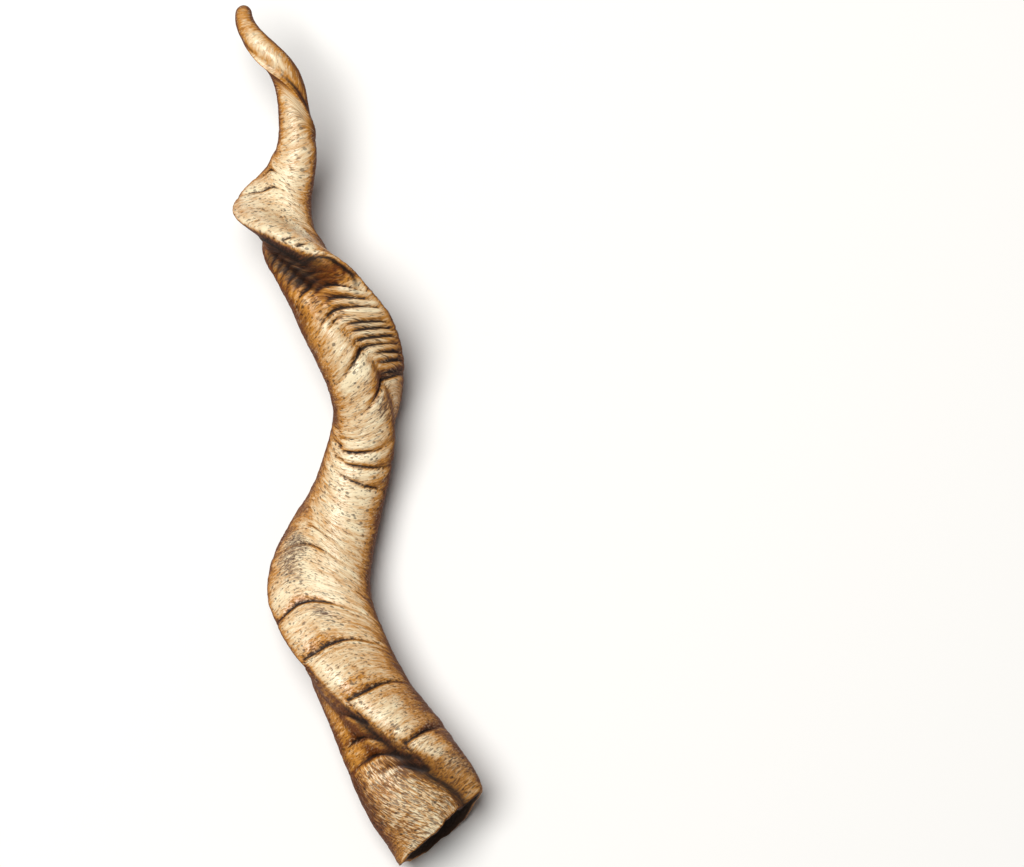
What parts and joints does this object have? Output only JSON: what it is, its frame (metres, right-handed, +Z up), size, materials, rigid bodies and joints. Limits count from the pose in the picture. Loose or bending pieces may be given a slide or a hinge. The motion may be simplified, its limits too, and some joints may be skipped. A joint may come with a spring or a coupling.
{
  "type": "markhor horn",
  "caption": "Single markhor horn sheath: a hollow-based corkscrew with a sharp spiral keel and ringed growth ridges, lying at rest as a specimen or ornament.",
  "frame": {"origin": "on the surface the horn lies on, under the middle of its bounding box", "axes": "+Z up, +Y along the corkscrew's axis from the open base towards the tip, +X to the right as seen from above with the tip away"},
  "size_m": [0.1454, 0.7006, 0.1263],
  "materials": {
    "horn_keratin": "natural horn keratin, golden tan with dark growth grooves, satin on the swells and dull in the grooves"
  },
  "bodies": {
    "root": {"horn": "horn_keratin"}
  },
  "joints": []
}
